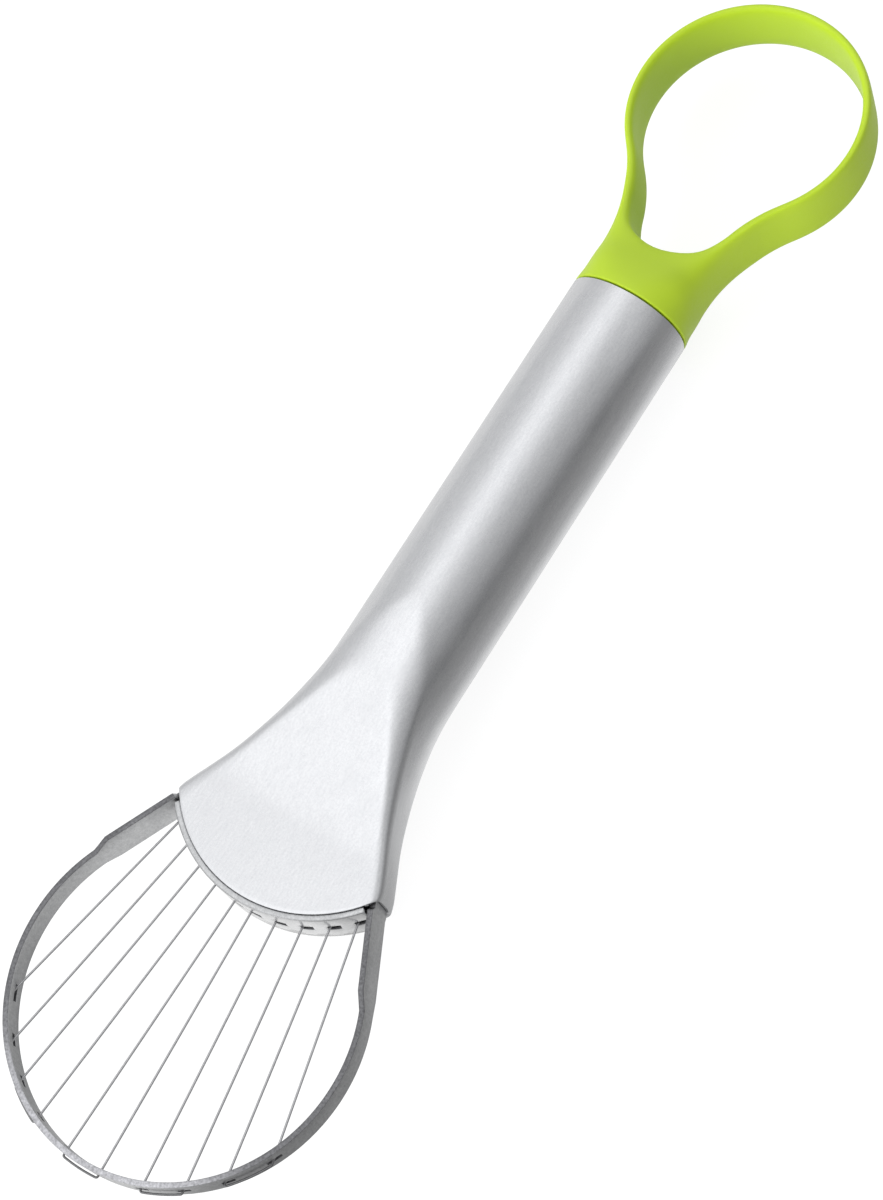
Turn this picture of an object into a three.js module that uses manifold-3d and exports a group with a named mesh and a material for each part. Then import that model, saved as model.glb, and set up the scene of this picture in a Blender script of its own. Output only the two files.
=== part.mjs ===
// Avocado slicer: a steel handle pressed flat at one end into a wide mouth, a ring of cutting wires
// held in that mouth, and a moulded loop for lifting out the stone, plugged into the round end.
// Millimetres. X runs along the handle towards the ring, Z is up, and the origin is under the
// middle of the slicer, on the surface that it lies on.

import * as THREE from 'three';
import { mergeVertices } from 'three/addons/utils/BufferGeometryUtils.js';
import Module from 'manifold-3d';

const DEGREE = Math.PI / 180;

// Handle, measured along X from its joint with the scoop
const TUBE_DIAMETER = 22;
const TUBE_WALL = 0.8;
const HANDLE_LENGTH = 118.5;
const PRESS_START = 62;
const PRESS_END = 104;
const MOUTH_WIDTH = 41.6;
const MOUTH_SIDE_BULGE = 0.3;
const MOUTH_FLAT_WIDTH = MOUTH_WIDTH - 2 * MOUTH_SIDE_BULGE;
const MOUTH_THICKNESS = 8.8;
const MOUTH_ARC_RADIUS = 25.2;
const FLARE_ANGLE = 27 * DEGREE;
const FLARE_BEND_RADIUS = 57;

// Cutter band: one strip, bent into the ring. Each end is a taller tang, as tall as the mouth, and
// steps down where it enters the mouth.
const RING_DIAMETER = 61.4;
const RING_HEIGHT = 4.8;
const BAND_THICKNESS = 1;
const TANG_DEPTH = 12;
const SHOULDER_REACH = 14;
const SHOULDER_LENGTH = 2.6;

// Wire bridge: a slotted strip over the mouth's lip, from one tang to the other
const BRIDGE_THICKNESS = 0.8;
const BRIDGE_HEIGHT = 8;
const BRIDGE_MIDDLE_PITCH = 3.5;
const BRIDGE_END_LAND = 2.2;

// Cutting wires, five hairpins that make ten spans
const WIRE_DIAMETER = 0.4;
const WIRE_BEND_RADIUS = 0.4;
const WIRE_TAIL = 0.6;
const RING_SLOT_ANGLES = [6.65, 21.1, 34.5, 47.6, 63.8].map((angle) => angle * DEGREE);
const SLOT_LENGTH = 2.2;
const SLOT_HEIGHT = 1;
const SLOT_CLEARANCE = 0.15;
const STOP_DIAMETER = 1.3;
const STOP_LENGTH = 1.4;

// Scoop, measured from the same joint the other way
const COLLAR_LENGTH = 0.6;
const COLLAR_BLEND = 16;
const LOOP_DIAMETER = 43;
const LOOP_REACH = 40.9;
const LOOP_THICKNESS = 1.4;
const LOOP_HEIGHT = 9.8;
const SADDLE_REACH = 10.4;
const SADDLE_RADIUS = 9.2;
const ARM_FILLET = 26;
const SPIGOT_LENGTH = 30;
const SPIGOT_WALL = 2.5;

// Gap kept between pieces that seat on each other
const FIT_GAP = 0.3;

// Steps used to draw round shapes
const ARC_STEPS = 40;
const ROUND_SIDES = 10;
const SIDE_FACETS = 17;

const STEEL = { color: 0xb9bbbd, roughness: 0.32, metalness: 1 };
const WIRE_STEEL = { color: 0x9a9c9e, roughness: 0.3, metalness: 1 };
const GREEN_PLASTIC = { color: 0xa9cc33, roughness: 0.45, metalness: 0 };

const wasm = await Module();
wasm.setup();

function solidFrom(geometry) {
  const bare = geometry.clone();
  bare.deleteAttribute('normal');
  bare.deleteAttribute('uv');
  const merged = mergeVertices(bare, 1e-4);
  return new wasm.Manifold(new wasm.Mesh({
    numProp: 3,
    vertProperties: Float32Array.from(merged.attributes.position.array),
    triVerts: Uint32Array.from(merged.index.array),
  }));
}

function geometryFrom(solid) {
  const mesh = solid.getMesh();
  const geometry = new THREE.BufferGeometry();
  geometry.setAttribute('position', new THREE.BufferAttribute(mesh.vertProperties, 3));
  geometry.setIndex(new THREE.BufferAttribute(mesh.triVerts, 1));
  geometry.computeVertexNormals();
  return geometry;
}

function piece(name, geometry, look) {
  const mesh = new THREE.Mesh(geometry, new THREE.MeshStandardMaterial(look));
  mesh.name = name;
  return mesh;
}

// A plan outline raised to a height that is centred on the handle's mid-plane.
function plate(shape, height) {
  const geometry = new THREE.ExtrudeGeometry(shape, {
    depth: height,
    bevelEnabled: false,
    curveSegments: ARC_STEPS,
  });
  return geometry.translate(0, 0, -height / 2);
}

// A side outline, drawn as (x, z), carried across the handle.
function sideSlab(shape, width) {
  const geometry = new THREE.ExtrudeGeometry(shape, {
    depth: width,
    bevelEnabled: false,
    curveSegments: ARC_STEPS,
  });
  return geometry.rotateX(Math.PI / 2).translate(0, width / 2, 0);
}

// Derived sizes of the handle
const tubeRadius = TUBE_DIAMETER / 2;
const mouthCentreX = HANDLE_LENGTH - MOUTH_ARC_RADIUS;
const mouthCornerX = mouthCentreX + Math.sqrt(MOUTH_ARC_RADIUS ** 2 - (MOUTH_WIDTH / 2) ** 2);
const flareMeetX = mouthCornerX - (MOUTH_WIDTH / 2 - tubeRadius) / Math.tan(FLARE_ANGLE);
const flareTangent = FLARE_BEND_RADIUS * Math.tan(FLARE_ANGLE / 2);
const flareStartX = flareMeetX - flareTangent;
const flareLineX = flareMeetX + flareTangent * Math.cos(FLARE_ANGLE);
const mouthCrown = MOUTH_THICKNESS / 2 / Math.sqrt(1 - (MOUTH_FLAT_WIDTH / MOUTH_WIDTH) ** 2);

// Half the handle's width and the slope of its side at x: straight, then bent, then flaring straight.
function handleSide(x) {
  if (x <= flareStartX) {
    return { half: tubeRadius, slope: 0 };
  }
  if (x < flareLineX) {
    const along = x - flareStartX;
    const drop = Math.sqrt(FLARE_BEND_RADIUS ** 2 - along ** 2);
    return { half: tubeRadius + FLARE_BEND_RADIUS - drop, slope: along / drop };
  }
  const slope = Math.tan(FLARE_ANGLE);
  return { half: MOUTH_WIDTH / 2 + (x - mouthCornerX) * slope, slope };
}

// How far the flats are pressed in at x, from 0 on the round tube to 1 at the parallel mouth.
function pressed(x) {
  return THREE.MathUtils.clamp((x - PRESS_START) / (PRESS_END - PRESS_START), 0, 1);
}

// The handle's section at x, drawn in by an inset: an oval side cut off by a flat above and below.
// On the round tube all facets are alike and their middles lie on the true circle. Towards the mouth
// the facets along the top and the bottom widen into the flats.
function handleSection(x, inset) {
  const { half, slope } = handleSide(x);
  const press = pressed(x);
  const swell = THREE.MathUtils.lerp(1 / Math.cos(Math.PI / (2 * SIDE_FACETS + 2)), 1, press);
  const a = swell * (half - inset * Math.hypot(1, slope));
  const b = MOUTH_THICKNESS / 2 + (tubeRadius - MOUTH_THICKNESS / 2) * (1 - press) ** 1.5 - inset;
  const c = swell * (tubeRadius + (mouthCrown - tubeRadius) * press ** 2 - inset);
  const edge = Math.atan2(b, a * Math.sqrt(1 - (b / c) ** 2));
  const section = [];
  for (const middle of [0, Math.PI]) {
    for (let i = 0; i <= SIDE_FACETS; i += 1) {
      const angle = middle + edge * ((2 * i) / SIDE_FACETS - 1);
      const radius = 1 / Math.hypot(Math.cos(angle) / a, Math.sin(angle) / c);
      section.push(new THREE.Vector3(x, radius * Math.cos(angle), radius * Math.sin(angle)));
    }
  }
  return section;
}

// A walled tube through matching outer and inner sections.
function walledLoft(outer, inner) {
  const count = outer[0].length;
  const rings = [...outer, ...inner];
  const positions = rings.flat().flatMap((point) => point.toArray());
  const index = [];
  const quad = (a, b, c, d) => index.push(a, b, d, b, c, d);
  const at = (ring, i) => ring * count + (i % count);
  const last = outer.length - 1;
  const first = outer.length;
  for (let i = 0; i < count; i += 1) {
    for (let s = 0; s < last; s += 1) {
      quad(at(s, i), at(s, i + 1), at(s + 1, i + 1), at(s + 1, i));
      quad(at(first + s, i + 1), at(first + s, i), at(first + s + 1, i), at(first + s + 1, i + 1));
    }
    quad(at(0, i + 1), at(0, i), at(first, i), at(first, i + 1));
    quad(at(last, i), at(last, i + 1), at(first + last, i + 1), at(first + last, i));
  }
  const geometry = new THREE.BufferGeometry();
  geometry.setAttribute('position', new THREE.Float32BufferAttribute(positions, 3));
  geometry.setIndex(index);
  return geometry;
}

function handleTube() {
  const formSteps = 22;
  const formStart = Math.min(PRESS_START, flareStartX);
  const overrun = 1;
  const stations = [0, formStart / 2];
  for (let i = 0; i <= formSteps; i += 1) {
    stations.push(formStart + ((HANDLE_LENGTH + overrun - formStart) * i) / formSteps);
  }
  const outer = stations.map((x) => handleSection(x, 0));
  const inner = stations.map((x) => handleSection(x, TUBE_WALL));
  const blank = solidFrom(walledLoft(outer, inner));

  // The mouth is trimmed to an arc, so only what lies behind the arc is kept.
  const reach = 4 * TUBE_DIAMETER + MOUTH_WIDTH;
  const behind = new THREE.BoxGeometry(mouthCentreX + overrun, reach, reach);
  behind.translate((mouthCentreX - overrun) / 2, 0, 0);
  const front = new THREE.CylinderGeometry(MOUTH_ARC_RADIUS, MOUTH_ARC_RADIUS, reach, 3 * ARC_STEPS);
  front.rotateX(Math.PI / 2).translate(mouthCentreX, 0, 0);
  const kept = solidFrom(behind).add(solidFrom(front));
  return geometryFrom(blank.intersect(kept));
}

// The tangs lie along the straight sides of the mouth. A line along the +Y side is all the points
// whose distance along this normal is the same, and the band, bridge and handle share it.
const sideNormal = new THREE.Vector2(-Math.sin(FLARE_ANGLE), Math.cos(FLARE_ANGLE));
const tongueHeight = MOUTH_THICKNESS - 2 * (TUBE_WALL + FIT_GAP);
const wallBulge = (MOUTH_WIDTH / 2) * (1 - Math.sqrt(1 - (tongueHeight / 2 / mouthCrown) ** 2));
const mouthSide = new THREE.Vector2(mouthCornerX, MOUTH_WIDTH / 2).dot(sideNormal);
const tangOuter = mouthSide - TUBE_WALL - FIT_GAP - wallBulge * Math.cos(FLARE_ANGLE);
const tangInner = tangOuter - BAND_THICKNESS;
const ringOuter = RING_DIAMETER / 2;
const ringInner = ringOuter - BAND_THICKNESS;
const ringMiddle = ringOuter - BAND_THICKNESS / 2;
const ringCentreX = (ringOuter - tangOuter) / Math.sin(FLARE_ANGLE);
const tangEndX = mouthCornerX - TANG_DEPTH;
const shoulderX = mouthCornerX + SHOULDER_REACH;

// The angle, about the centre of the mouth's arc, at which a radius meets a line along the +Y side.
function angleOnSide(distance, radius) {
  return FLARE_ANGLE + Math.asin((distance - mouthCentreX * sideNormal.x) / radius);
}

// The point at x on a line along the mouth's +Y side.
function onSideLine(distance, x) {
  return new THREE.Vector2(x, (distance - x * sideNormal.x) / sideNormal.y);
}

// One slot through a strip: a block across it at an angle about a centre.
function slotCut(centreX, radius, angle, length, depth) {
  const block = new THREE.BoxGeometry(depth, length, SLOT_HEIGHT);
  block.translate(radius, 0, 0).rotateZ(angle).translate(centreX, 0, 0);
  return solidFrom(block);
}

// Derived sizes of the bridge
const bridgeBack = MOUTH_ARC_RADIUS + FIT_GAP;
const bridgeMiddle = bridgeBack + BRIDGE_THICKNESS / 2;
const bridgeFront = bridgeBack + BRIDGE_THICKNESS;
const firstSlotAngle = BRIDGE_MIDDLE_PITCH / 2 / bridgeMiddle;
const lastSlotAngle = angleOnSide(tangInner, bridgeMiddle) - BRIDGE_END_LAND / bridgeMiddle;

// The ten spans, from the +Y side to the -Y side. Each crosses the bridge near the -Y end of its
// slot, and crosses the ring near the end of its slot that faces its partner.
const spans = [];
for (const side of [1, -1]) {
  RING_SLOT_ANGLES.forEach((ringAngle, i) => {
    const share = i / (RING_SLOT_ANGLES.length - 1);
    const slotAngle = side * THREE.MathUtils.lerp(firstSlotAngle, lastSlotAngle, share);
    spans.push({ ringAngle: side * ringAngle, slotAngle });
  });
}
spans.sort((p, q) => q.ringAngle - p.ringAngle);
spans.forEach((span, i) => {
  const polar = (centreX, radius, angle) =>
    new THREE.Vector2(centreX + radius * Math.cos(angle), radius * Math.sin(angle));
  const room = (thickness, slant) =>
    WIRE_DIAMETER / 2 / Math.cos(slant) + (thickness / 2) * Math.tan(Math.abs(slant)) + SLOT_CLEARANCE;
  const ringPoint = polar(ringCentreX, ringMiddle, span.ringAngle);
  const slotPoint = polar(mouthCentreX, bridgeMiddle, span.slotAngle);
  const aim = ringPoint.clone().sub(slotPoint).angle();
  const slantAtBridge = aim - span.slotAngle;
  const offCentre = Math.max(0, SLOT_LENGTH / 2 - room(BRIDGE_THICKNESS, slantAtBridge));
  const wireAngle = span.slotAngle - offCentre / bridgeMiddle;
  span.bridgePoint = polar(mouthCentreX, bridgeMiddle, wireAngle);
  span.direction = ringPoint.clone().sub(span.bridgePoint).normalize();
  span.bridgeSlant = span.direction.angle() - wireAngle;
  span.ringPoint = ringPoint;

  // The partner along the outside of the ring is the next span or the one before.
  const towardsPartner = i % 2 === 0 ? -1 : 1;
  const slantAtRing = span.direction.angle() - span.ringAngle;
  const bend = WIRE_BEND_RADIUS + WIRE_DIAMETER / 2;
  const near = room(BAND_THICKNESS, slantAtRing) + bend;
  const far = Math.max(room(BAND_THICKNESS, slantAtRing), SLOT_LENGTH - near);
  span.ringSlotLength = near + far;
  span.ringSlotAngle = span.ringAngle - (towardsPartner * (far - near)) / 2 / ringMiddle;
});

function cutterBand() {
  const start = Math.PI / 2 + FLARE_ANGLE;
  const mirrored = (point) => new THREE.Vector2(point.x, -point.y);
  const outerEnd = onSideLine(tangOuter, tangEndX);
  const innerEnd = onSideLine(tangInner, tangEndX);
  const plan = new THREE.Shape();
  plan.moveTo(innerEnd.x, innerEnd.y);
  plan.lineTo(outerEnd.x, outerEnd.y);
  plan.absarc(ringCentreX, 0, ringOuter, start, -start, true);
  plan.lineTo(mirrored(outerEnd).x, mirrored(outerEnd).y);
  plan.lineTo(mirrored(innerEnd).x, mirrored(innerEnd).y);
  plan.absarc(ringCentreX, 0, ringInner, -start, start, false);
  plan.closePath();

  // Seen from the side, a tongue steps up to the full tang just clear of the lip, and the tang
  // steps down again to the ring over a sloping shoulder.
  const margin = BAND_THICKNESS;
  const stepX = mouthCentreX + bridgeBack * Math.cos(angleOnSide(tangInner, bridgeBack));
  const top = [
    [tangEndX - margin, tongueHeight],
    [stepX, tongueHeight],
    [stepX, MOUTH_THICKNESS],
    [shoulderX, MOUTH_THICKNESS],
    [shoulderX + SHOULDER_LENGTH, RING_HEIGHT],
    [ringCentreX + ringOuter + margin, RING_HEIGHT],
  ].map(([x, height]) => new THREE.Vector2(x, height / 2));
  const bottom = top.map((point) => new THREE.Vector2(point.x, -point.y)).reverse();
  const side = new THREE.Shape([...top, ...bottom]);

  let band = solidFrom(plate(plan, MOUTH_THICKNESS));
  band = band.intersect(solidFrom(sideSlab(side, 2 * RING_DIAMETER)));
  for (const span of spans) {
    const depth = 3 * BAND_THICKNESS;
    band = band.subtract(
      slotCut(ringCentreX, ringMiddle, span.ringSlotAngle, span.ringSlotLength, depth),
    );
  }
  return geometryFrom(band);
}

// A bent line through points, with its corners rounded to a radius.
function roundedRoute(points, radius, steps) {
  const route = [points[0]];
  for (let i = 1; i < points.length - 1; i += 1) {
    const here = points[i];
    const back = points[i - 1].clone().sub(here);
    const on = points[i + 1].clone().sub(here);
    const turn = Math.PI - Math.acos(THREE.MathUtils.clamp(back.dot(on) / back.length() / on.length(), -1, 1));
    const reach = Math.min(radius * Math.tan(turn / 2), 0.45 * Math.min(back.length(), on.length()));
    if (turn < 10 * DEGREE) {
      route.push(here);
      continue;
    }
    const enter = here.clone().addScaledVector(back.normalize(), reach);
    const leave = here.clone().addScaledVector(on.normalize(), reach);
    for (let s = 0; s <= steps; s += 1) {
      const t = s / steps;
      const point = enter.clone().multiplyScalar((1 - t) ** 2);
      point.addScaledVector(here, 2 * t * (1 - t)).addScaledVector(leave, t ** 2);
      route.push(point);
    }
  }
  route.push(points[points.length - 1]);
  return route;
}

function wireBridge() {
  // Both ends of the strip are cut along the tangs that they seat on.
  const seat = tangInner - FIT_GAP;
  const frontAngle = angleOnSide(seat, bridgeFront);
  const backAngle = angleOnSide(seat, bridgeBack);
  const plan = new THREE.Shape();
  plan.absarc(mouthCentreX, 0, bridgeFront, -frontAngle, frontAngle, false);
  plan.absarc(mouthCentreX, 0, bridgeBack, backAngle, -backAngle, true);
  plan.closePath();
  let bridge = solidFrom(plate(plan, BRIDGE_HEIGHT));
  for (const span of spans) {
    const depth = 2 * BRIDGE_THICKNESS;
    bridge = bridge.subtract(
      slotCut(mouthCentreX, bridgeMiddle, span.slotAngle, SLOT_LENGTH, depth),
    );
  }
  return geometryFrom(bridge);
}

// Where a span's stop sleeve starts behind the bridge, clear of its back face.
function stopStart(span) {
  const clear = (BRIDGE_THICKNESS / 2 + FIT_GAP) / Math.cos(span.bridgeSlant);
  return clear + (STOP_DIAMETER / 2) * Math.tan(Math.abs(span.bridgeSlant));
}

function wireStop(span) {
  const profile = [
    [WIRE_DIAMETER / 2 + SLOT_CLEARANCE, 0],
    [STOP_DIAMETER / 2, 0],
    [STOP_DIAMETER / 2, STOP_LENGTH],
    [WIRE_DIAMETER / 2 + SLOT_CLEARANCE, STOP_LENGTH],
    [WIRE_DIAMETER / 2 + SLOT_CLEARANCE, 0],
  ].map(([radius, along]) => new THREE.Vector2(radius, along));
  const sleeve = new THREE.LatheGeometry(profile, ROUND_SIDES);
  const heading = span.direction.angle();
  const start = span.bridgePoint.clone().addScaledVector(span.direction, -stopStart(span));
  sleeve.rotateZ(heading + Math.PI / 2).translate(start.x, start.y, 0);
  return geometryFrom(solidFrom(sleeve));
}

// A route that passes straight through its points, with one ring of the tube at each of them.
class PointRoute extends THREE.Curve {
  constructor(points) {
    super();
    this.points = points;
  }

  getPoint(t) {
    const place = t * (this.points.length - 1);
    const i = Math.min(Math.floor(place), this.points.length - 2);
    return this.points[i].clone().lerp(this.points[i + 1], place - i);
  }

  getUtoTmapping(u) {
    return u;
  }
}

// One hairpin: out through the ring, along its outside to the partner's slot, and back.
function cuttingWire(spanA, spanB) {
  const runRadius = ringOuter + FIT_GAP + WIRE_DIAMETER / 2;
  const centre = new THREE.Vector2(ringCentreX, 0);
  const tailOf = (span) => {
    const back = stopStart(span) + STOP_LENGTH + WIRE_TAIL;
    return span.bridgePoint.clone().addScaledVector(span.direction, -back);
  };
  const exitOf = (span) => {
    const from = span.ringPoint.clone().sub(centre);
    const half = from.dot(span.direction);
    const along = -half + Math.sqrt(half ** 2 + runRadius ** 2 - from.lengthSq());
    return span.ringPoint.clone().addScaledVector(span.direction, along);
  };
  const exitA = exitOf(spanA);
  const exitB = exitOf(spanB);
  const angleOf = (point) => Math.atan2(point.y, point.x - ringCentreX);
  const runSteps = 6;
  const run = [];
  for (let i = 1; i < runSteps; i += 1) {
    const angle = THREE.MathUtils.lerp(angleOf(exitA), angleOf(exitB), i / runSteps);
    run.push(new THREE.Vector2(
      ringCentreX + runRadius * Math.cos(angle),
      runRadius * Math.sin(angle),
    ));
  }
  const corners = [tailOf(spanA), exitA, ...run, exitB, tailOf(spanB)];
  const route = roundedRoute(corners, WIRE_BEND_RADIUS, 4);
  const section = new THREE.Shape();
  section.absarc(0, 0, WIRE_DIAMETER / 2, 0, 2 * Math.PI, false);
  const geometry = new THREE.ExtrudeGeometry(section, {
    steps: route.length - 1,
    extrudePath: new PointRoute(route.map((point) => new THREE.Vector3(point.x, point.y, 0))),
    curveSegments: ROUND_SIDES,
  });
  return geometryFrom(solidFrom(geometry));
}

// A solid through oval sections, each given by where it stands and its half width and half height.
function ovalLoft(sections) {
  const count = 2 * ARC_STEPS;
  const positions = [];
  const index = [];
  for (const { x, a, b } of sections) {
    for (let i = 0; i < count; i += 1) {
      const angle = (2 * Math.PI * i) / count;
      positions.push(x, a * Math.cos(angle), b * Math.sin(angle));
    }
  }
  const last = sections.length - 1;
  for (let i = 0; i < count; i += 1) {
    const next = (i + 1) % count;
    for (let s = 0; s < last; s += 1) {
      const near = s * count;
      const far = near + count;
      index.push(near + i, near + next, far + i, near + next, far + next, far + i);
    }
    if (i > 0 && next > 0) {
      index.push(0, next, i, last * count, last * count + i, last * count + next);
    }
  }
  const geometry = new THREE.BufferGeometry();
  geometry.setAttribute('position', new THREE.Float32BufferAttribute(positions, 3));
  geometry.setIndex(index);
  return geometry;
}

// The point on the +Y side that lies at given distances from two points on or above the X axis.
function meetingPoint(near, nearDistance, far, farDistance) {
  const on = far.clone().sub(near);
  const apart = on.length();
  const along = (nearDistance ** 2 - farDistance ** 2 + apart ** 2) / (2 * apart);
  const up = Math.sqrt(nearDistance ** 2 - along ** 2);
  on.normalize();
  return new THREE.Vector2(near.x + along * on.x - up * on.y, near.y + along * on.y + up * on.x);
}

// The scoop is drawn pointing along +X from its joint, and turned round when it is placed.
function scoopLoop() {
  const loopOuter = LOOP_DIAMETER / 2;
  const loopInner = loopOuter - LOOP_THICKNESS;
  const tipX = LOOP_REACH + loopOuter + LOOP_THICKNESS;

  // Outside, a hollow curve runs from each side of the collar's rim into the round of the loop.
  const rim = new THREE.Vector2(FIT_GAP, tubeRadius);
  const loopCentre = new THREE.Vector2(LOOP_REACH, 0);
  const arm = meetingPoint(rim, ARM_FILLET, loopCentre, loopOuter + ARM_FILLET);
  const rimAngle = rim.clone().sub(arm).angle();
  const armAngle = loopCentre.clone().sub(arm).angle();
  const plan = new THREE.Shape();
  plan.moveTo(rim.x, -rim.y);
  plan.absarc(arm.x, -arm.y, ARM_FILLET, -rimAngle, -armAngle, true);
  plan.absarc(LOOP_REACH, 0, loopOuter, Math.PI - armAngle, armAngle - Math.PI, false);
  plan.absarc(arm.x, arm.y, ARM_FILLET, armAngle, rimAngle, true);
  plan.closePath();

  // Inside, the opening is a drop: a small round at the collar and a large round in the loop, with
  // hollow sides between them. The small round is limited by the wall that the arms keep.
  const hollowRadius = ARM_FILLET + LOOP_THICKNESS;
  const fromArm = SADDLE_REACH - arm.x;
  const roomInArms = (fromArm ** 2 + arm.y ** 2 - hollowRadius ** 2) / (2 * (hollowRadius - fromArm));
  const saddleRadius = Math.min(SADDLE_RADIUS, roomInArms);
  const saddle = new THREE.Vector2(SADDLE_REACH + saddleRadius, 0);
  const hollow = meetingPoint(saddle, saddleRadius + hollowRadius, loopCentre, loopInner + hollowRadius);
  const nearAngle = hollow.clone().sub(saddle).angle();
  const farAngle = hollow.clone().sub(loopCentre).angle();
  const opening = new THREE.Path();
  opening.absarc(LOOP_REACH, 0, loopInner, -farAngle, farAngle, false);
  opening.absarc(hollow.x, hollow.y, hollowRadius, farAngle - Math.PI, nearAngle - Math.PI, true);
  opening.absarc(saddle.x, 0, saddleRadius, nearAngle, 2 * Math.PI - nearAngle, false);
  opening.absarc(hollow.x, -hollow.y, hollowRadius, Math.PI - nearAngle, Math.PI - farAngle, true);
  plan.holes.push(opening);

  // From the side the collar's full height eases down to the height of the loop, and its round
  // section opens into an oval that is wider than the arms where it ends.
  const blendSteps = 12;
  const top = [new THREE.Vector2(0, tubeRadius)];
  const sections = [{ x: 0, a: tubeRadius, b: tubeRadius }];
  for (let i = 0; i <= blendSteps; i += 1) {
    const t = i / blendSteps;
    const x = THREE.MathUtils.lerp(COLLAR_LENGTH, COLLAR_BLEND, t);
    const z = THREE.MathUtils.lerp(tubeRadius, LOOP_HEIGHT / 2, t * t * (3 - 2 * t));
    top.push(new THREE.Vector2(x, z));
    sections.push({ x, a: tubeRadius * (1 + t * t / 2), b: z * (1 + t / 4) });
  }
  top.push(new THREE.Vector2(tipX, LOOP_HEIGHT / 2));
  sections.push({ x: LOOP_REACH, a: 3 * loopOuter, b: 3 * LOOP_HEIGHT });
  sections.push({ x: tipX, a: 3 * loopOuter, b: 3 * LOOP_HEIGHT });
  const bottom = top.map((point) => new THREE.Vector2(point.x, -point.y)).reverse();
  const side = new THREE.Shape([...top, ...bottom]);

  const spigotRadius = tubeRadius - TUBE_WALL - FIT_GAP;
  const spigot = [
    [0, 0],
    [spigotRadius - SPIGOT_WALL, 0],
    [spigotRadius - SPIGOT_WALL, -SPIGOT_LENGTH],
    [spigotRadius, -SPIGOT_LENGTH],
    [spigotRadius, LOOP_THICKNESS],
    [0, LOOP_THICKNESS],
  ].map(([radius, along]) => new THREE.Vector2(radius, along));
  const plug = new THREE.LatheGeometry(spigot, 2 * ARC_STEPS).rotateZ(-Math.PI / 2);

  const body = solidFrom(plate(plan, TUBE_DIAMETER))
    .intersect(solidFrom(sideSlab(side, 2 * LOOP_DIAMETER)))
    .intersect(solidFrom(ovalLoft(sections)));
  return geometryFrom(body.add(solidFrom(plug)));
}

const head = new THREE.Group();
head.add(piece('handle_tube', handleTube(), STEEL));
head.add(piece('cutter_band', cutterBand(), STEEL));
head.add(piece('wire_bridge', wireBridge(), STEEL));
for (let pair = 0; pair < spans.length / 2; pair += 1) {
  const wire = cuttingWire(spans[2 * pair], spans[2 * pair + 1]);
  head.add(piece(`cutting_wire_${pair + 1}`, wire, WIRE_STEEL));
}
spans.forEach((span, i) => {
  head.add(piece(`wire_stop_${i + 1}`, wireStop(span), STEEL));
});

const scoop = new THREE.Group();
scoop.rotation.z = Math.PI;
scoop.add(piece('pit_scoop', scoopLoop(), GREEN_PLASTIC));

// The whole slicer is moved so that it lies on its round handle, centred over the origin.
const slicer = new THREE.Group();
slicer.add(head, scoop);
const headEnd = ringCentreX + ringOuter + FIT_GAP + WIRE_DIAMETER;
const scoopEnd = -(LOOP_REACH + LOOP_DIAMETER / 2);
slicer.position.set(-(headEnd + scoopEnd) / 2, 0, tubeRadius);

export default slicer;
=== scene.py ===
import math

import bmesh
import bpy
from mathutils import Matrix, Vector


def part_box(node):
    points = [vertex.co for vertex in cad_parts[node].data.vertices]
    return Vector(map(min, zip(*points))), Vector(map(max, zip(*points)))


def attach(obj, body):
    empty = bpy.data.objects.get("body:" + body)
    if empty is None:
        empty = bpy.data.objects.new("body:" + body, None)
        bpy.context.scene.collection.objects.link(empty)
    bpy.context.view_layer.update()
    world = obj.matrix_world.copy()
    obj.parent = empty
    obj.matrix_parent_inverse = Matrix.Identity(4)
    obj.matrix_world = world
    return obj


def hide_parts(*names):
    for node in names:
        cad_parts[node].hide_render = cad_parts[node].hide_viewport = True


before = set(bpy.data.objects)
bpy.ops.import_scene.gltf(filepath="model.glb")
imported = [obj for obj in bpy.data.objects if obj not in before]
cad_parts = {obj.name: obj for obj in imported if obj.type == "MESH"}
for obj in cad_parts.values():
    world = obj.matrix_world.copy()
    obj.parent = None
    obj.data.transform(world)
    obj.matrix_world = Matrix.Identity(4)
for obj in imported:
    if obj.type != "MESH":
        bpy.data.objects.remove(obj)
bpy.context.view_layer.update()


# Studio. A white floor that the slicer lies on, a broad bright strip of light overhead and to its
# left, a dark wall on its right, grey card on the floor as the steel mirrors it, two soft lamps for
# the green moulding, and the camera above the ring.
floor_half = 3.0
floor_glow = 0.86
floor_tone = (0.65, 0.65, 0.65, 1)
shadow_tone = (0.2, 0.2, 0.2, 1)
# The mirrored card's brightness across the slicer, along it, and round two shaded places.
card_across = ((0.0, 0.94), (0.012, 0.94), (0.021, 0.56), (0.030, 0.50), (0.045, 0.38), (0.1, 0.34))
card_peak = 2
card_along = ((0.0, 0.5), (0.070, 0.5), (0.100, 0.36), (0.112, 0.36), (0.130, 0.66), (0.2, 0.66))
card_shades = (
    ((-0.078, -0.004, 0), ((0.0, 0.5), (0.014, 0.5), (0.026, 1.0), (0.03, 1.0))),
    ((0.096, -0.022, 0), ((0.0, 0.6), (0.009, 0.6), (0.021, 1.0), (0.03, 1.0))),
)
bm = bmesh.new()
bmesh.ops.create_grid(bm, x_segments=1, y_segments=1, size=floor_half)
floor_mesh = bpy.data.meshes.new("floor")
bm.to_mesh(floor_mesh)
bm.free()
floor = bpy.data.objects.new("floor", floor_mesh)
bpy.context.scene.collection.objects.link(floor)

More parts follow.
